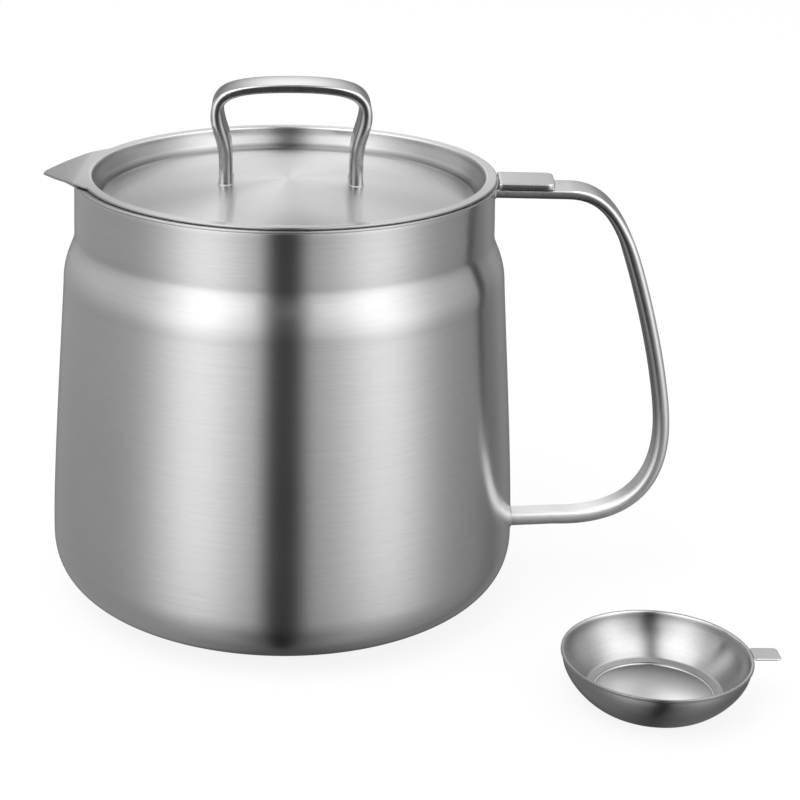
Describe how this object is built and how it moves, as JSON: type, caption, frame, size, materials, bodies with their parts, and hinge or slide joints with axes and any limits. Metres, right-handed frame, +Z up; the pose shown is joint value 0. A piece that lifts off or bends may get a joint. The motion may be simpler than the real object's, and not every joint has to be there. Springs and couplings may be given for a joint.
{
  "type": "bacon grease container",
  "caption": "Round steel pot with a side handle and pouring beak, a hung strainer, a sunken lid with a bow handle, and a small strainer dish beside it.",
  "frame": {"origin": "centre of the pot's flat base, on the surface that it stands on", "axes": "+Z up along the pot's axis, +X towards the pot's handle, -X towards the pouring beak; the small dish stands in front and to the right, at +X and -Y"},
  "size_m": [0.2271, 0.1795, 0.1664],
  "materials": {
    "pot": "satin stainless steel, brushed round the body",
    "lip": "satin stainless steel",
    "handle": "polished stainless steel strap",
    "strainer": "satin stainless steel",
    "tab": "satin stainless steel",
    "screen": "fine woven stainless steel screen",
    "ring": "satin stainless steel",
    "lid": "bright satin stainless steel",
    "bow": "polished stainless steel strap",
    "dish": "satin stainless steel",
    "dish_tab": "satin stainless steel",
    "dish_screen": "fine woven stainless steel screen",
    "dish_ring": "satin stainless steel"
  },
  "bodies": {
    "pot": {"pot_shell": "pot", "pouring_lip": "lip", "pot_handle": "handle"},
    "strainer": {"strainer_bowl": "strainer", "strainer_tab": "tab", "strainer_screen": "screen", "strainer_ring": "ring"},
    "lid": {"lid_pan": "lid", "lid_handle": "bow"},
    "dish": {"dish_bowl": "dish", "dish_tab": "dish_tab", "dish_screen": "dish_screen", "dish_ring": "dish_ring"}
  },
  "joints": [
    {"name": "strainer_lift", "type": "slide", "parent": "pot", "child": "strainer", "axis": [0, 0, 1], "range_m": [0, 0.06]},
    {"name": "lid_lift", "type": "slide", "parent": "strainer", "child": "lid", "axis": [0, 0, 1], "range_m": [0, 0.06]},
    {"name": "dish_lift", "type": "slide", "parent": "pot", "child": "dish", "axis": [0, 0, 1], "range_m": [0, 0.06]}
  ]
}
